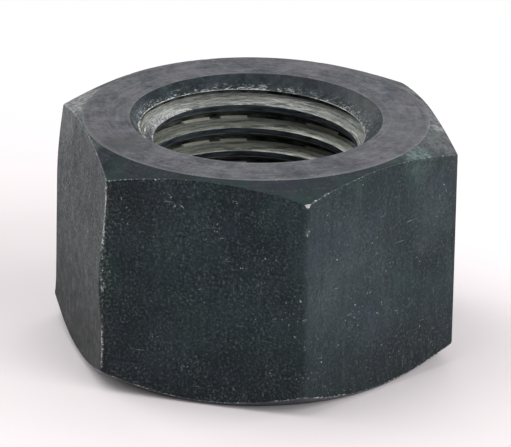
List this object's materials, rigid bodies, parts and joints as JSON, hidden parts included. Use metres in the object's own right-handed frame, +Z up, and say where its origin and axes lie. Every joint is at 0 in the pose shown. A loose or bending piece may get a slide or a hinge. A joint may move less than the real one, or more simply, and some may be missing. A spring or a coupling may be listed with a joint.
{
  "type": "hex nut",
  "caption": "Full-height hexagon nut with a coarse right-hand metric thread, countersunk bore and chamfered corners.",
  "frame": {"origin": "centre of the lower bearing face, on the thread axis", "axes": "+Z up along the thread axis; one pair of wrench flats is square to Y, so two corners lie on the X axis"},
  "size_m": [0.0748, 0.065, 0.043],
  "materials": {
    "blackened_steel": "black oxide over forged and machined steel, semi-matt"
  },
  "bodies": {
    "root": {"hex_nut": "blackened_steel"}
  },
  "joints": []
}
